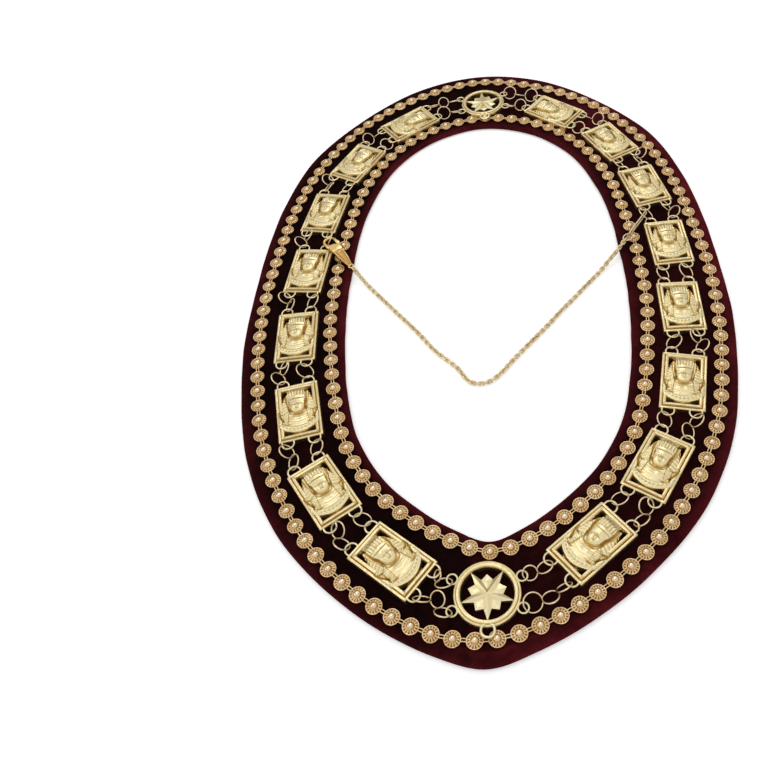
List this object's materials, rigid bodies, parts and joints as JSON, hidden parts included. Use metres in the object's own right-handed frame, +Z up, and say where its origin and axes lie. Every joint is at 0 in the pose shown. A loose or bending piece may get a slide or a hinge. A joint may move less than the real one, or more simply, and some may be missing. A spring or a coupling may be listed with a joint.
{
  "type": "chain of office",
  "caption": "Ceremonial chain collar lying flat: gold-coloured openwork plaques and star medallions linked by jump rings on a dark maroon velvet ring with studded trim and a safety chain.",
  "frame": {"origin": "middle of the outline, on the surface the collar lies on", "axes": "+Y from the front point to the back of the neck, +X to the right with the front point nearest, +Z up out of the face"},
  "size_m": [0.298, 0.4696, 0.0126],
  "materials": {
    "velvet": "dark maroon velvet, cut pile, matte with a sheen at the turned edges",
    "cast_gold": "gold-plated casting, matte pale yellow, darker in the recesses",
    "wire_gold": "gold-plated wire, satin",
    "stud_gold": "gold-plated pressed studs, warmer gold with polished domes"
  },
  "bodies": {
    "collar": {"velvet_backing": "velvet", "plaque_l1": "cast_gold", "plaque_l2": "cast_gold", "plaque_l3": "cast_gold", "plaque_l4": "cast_gold", "plaque_l5": "cast_gold", "plaque_l6": "cast_gold", "plaque_l7": "cast_gold", "plaque_l8": "cast_gold", "plaque_r1": "cast_gold", "plaque_r2": "cast_gold", "plaque_r3": "cast_gold", "plaque_r4": "cast_gold", "plaque_r5": "cast_gold", "plaque_r6": "cast_gold", "plaque_r7": "cast_gold", "plaque_r8": "cast_gold", "medallion_front": "cast_gold", "medallion_back": "cast_gold", "links_l0_in": "wire_gold", "links_l0_out": "wire_gold", "links_l1_in": "wire_gold", "links_l1_out": "wire_gold", "links_l2_in": "wire_gold", "links_l2_out": "wire_gold", "links_l3_in": "wire_gold", "links_l3_out": "wire_gold", "links_l4_in": "wire_gold", "links_l4_out": "wire_gold", "links_l5_in": "wire_gold", "links_l5_out": "wire_gold", "links_l6_in": "wire_gold", "links_l6_out": "wire_gold", "links_l7_in": "wire_gold", "links_l7_out": "wire_gold", "links_l8_in": "wire_gold", "links_l8_out": "wire_gold", "links_r0_in": "wire_gold", "links_r0_out": "wire_gold", "links_r1_in": "wire_gold", "links_r1_out": "wire_gold", "links_r2_in": "wire_gold", "links_r2_out": "wire_gold", "links_r3_in": "wire_gold", "links_r3_out": "wire_gold", "links_r4_in": "wire_gold", "links_r4_out": "wire_gold", "links_r5_in": "wire_gold", "links_r5_out": "wire_gold", "links_r6_in": "wire_gold", "links_r6_out": "wire_gold", "links_r7_in": "wire_gold", "links_r7_out": "wire_gold", "links_r8_in": "wire_gold", "links_r8_out": "wire_gold", "studs_outer": "stud_gold", "studs_inner": "stud_gold", "safety_chain": "wire_gold", "clasp_body": "wire_gold"},
    "clasp_lever": {"clasp_lever": "wire_gold"}
  },
  "joints": [
    {"name": "clasp_lever_hinge", "type": "hinge", "parent": "collar", "child": "clasp_lever", "pos_m": [-0.09581, 0.04427, 0.00913], "axis": [0.0274, -0.04, 0.9988], "range_deg": [0, 20], "stiffness_Nm_per_rad": 0.01, "springref_deg": -17.19}
  ]
}
